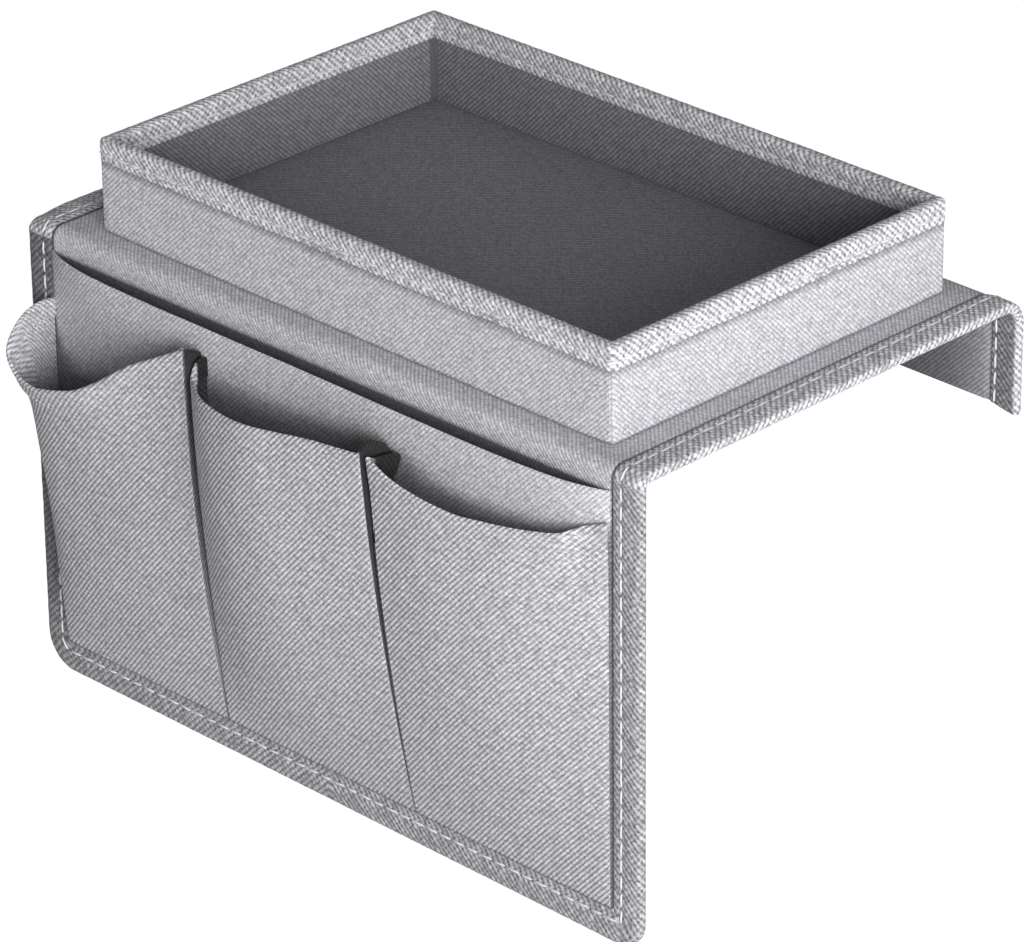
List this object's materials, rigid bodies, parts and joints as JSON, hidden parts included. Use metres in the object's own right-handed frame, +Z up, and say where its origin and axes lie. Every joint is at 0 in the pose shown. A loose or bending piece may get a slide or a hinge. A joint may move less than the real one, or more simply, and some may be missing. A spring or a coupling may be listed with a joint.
{
  "type": "bedside pocket organizer",
  "caption": "Stiffened cloth saddle with an open tray on top, a magazine pocket and pleated pockets on its long front flap, and a short rear flap; hangs over a sofa arm or bed rail",
  "frame": {"origin": "middle of the top panel's underside, the face that rests on the arm", "axes": "+X along the arm towards the organizer's right end as seen from the front flap, +Y over the arm towards the rear flap, +Z up"},
  "size_m": [0.33, 0.2502, 0.2349],
  "materials": {
    "cover_cloth": "matt light grey twill of imitation linen",
    "binding_cloth": "matt coarser grey twill, top-stitched",
    "lining_cloth": "matt dark grey tray lining",
    "board": "plain grey board"
  },
  "bodies": {
    "top": {"top_lining": "cover_cloth", "top_board": "board", "top_cover_cloth": "cover_cloth", "left_top_binding": "binding_cloth", "right_top_binding": "binding_cloth", "front_fold_cloth": "cover_cloth", "front_fold_lining": "cover_cloth", "left_front_fold_binding": "binding_cloth", "right_front_fold_binding": "binding_cloth", "rear_fold_cloth": "cover_cloth", "rear_fold_lining": "cover_cloth", "left_rear_fold_binding": "binding_cloth", "right_rear_fold_binding": "binding_cloth", "tray_outer_cover": "cover_cloth", "tray_inner_lining": "lining_cloth", "tray_rim_binding": "binding_cloth", "tray_front_board": "board", "tray_rear_board": "board", "tray_left_board": "board", "tray_right_board": "board", "tray_base_board": "board", "tray_floor_lining": "lining_cloth"},
    "front_flap": {"front_flap_cover": "cover_cloth", "front_flap_board": "board", "front_flap_lining": "cover_cloth", "front_flap_binding": "binding_cloth", "magazine_pocket_panel": "cover_cloth", "left_pocket_front": "cover_cloth", "middle_pocket_front": "cover_cloth", "right_pocket_front": "cover_cloth", "left_pleat": "cover_cloth", "right_pleat": "cover_cloth"},
    "rear_flap": {"rear_flap_cover": "cover_cloth", "rear_flap_board": "board", "rear_flap_lining": "cover_cloth", "rear_flap_left_binding": "binding_cloth", "rear_flap_right_binding": "binding_cloth"}
  },
  "joints": [
    {"name": "front_fold", "type": "hinge", "parent": "top", "child": "front_flap", "pos_m": [0, -0.1014, -0.0003], "axis": [1, 0, 0], "range_deg": [-90, 85], "deforming": ["front_fold_cloth", "front_fold_lining", "left_front_fold_binding", "right_front_fold_binding"]},
    {"name": "rear_fold", "type": "hinge", "parent": "top", "child": "rear_flap", "pos_m": [0, 0.1014, -0.0003], "axis": [-1, 0, 0], "range_deg": [-90, 88], "deforming": ["rear_fold_cloth", "rear_fold_lining", "left_rear_fold_binding", "right_rear_fold_binding"]}
  ]
}
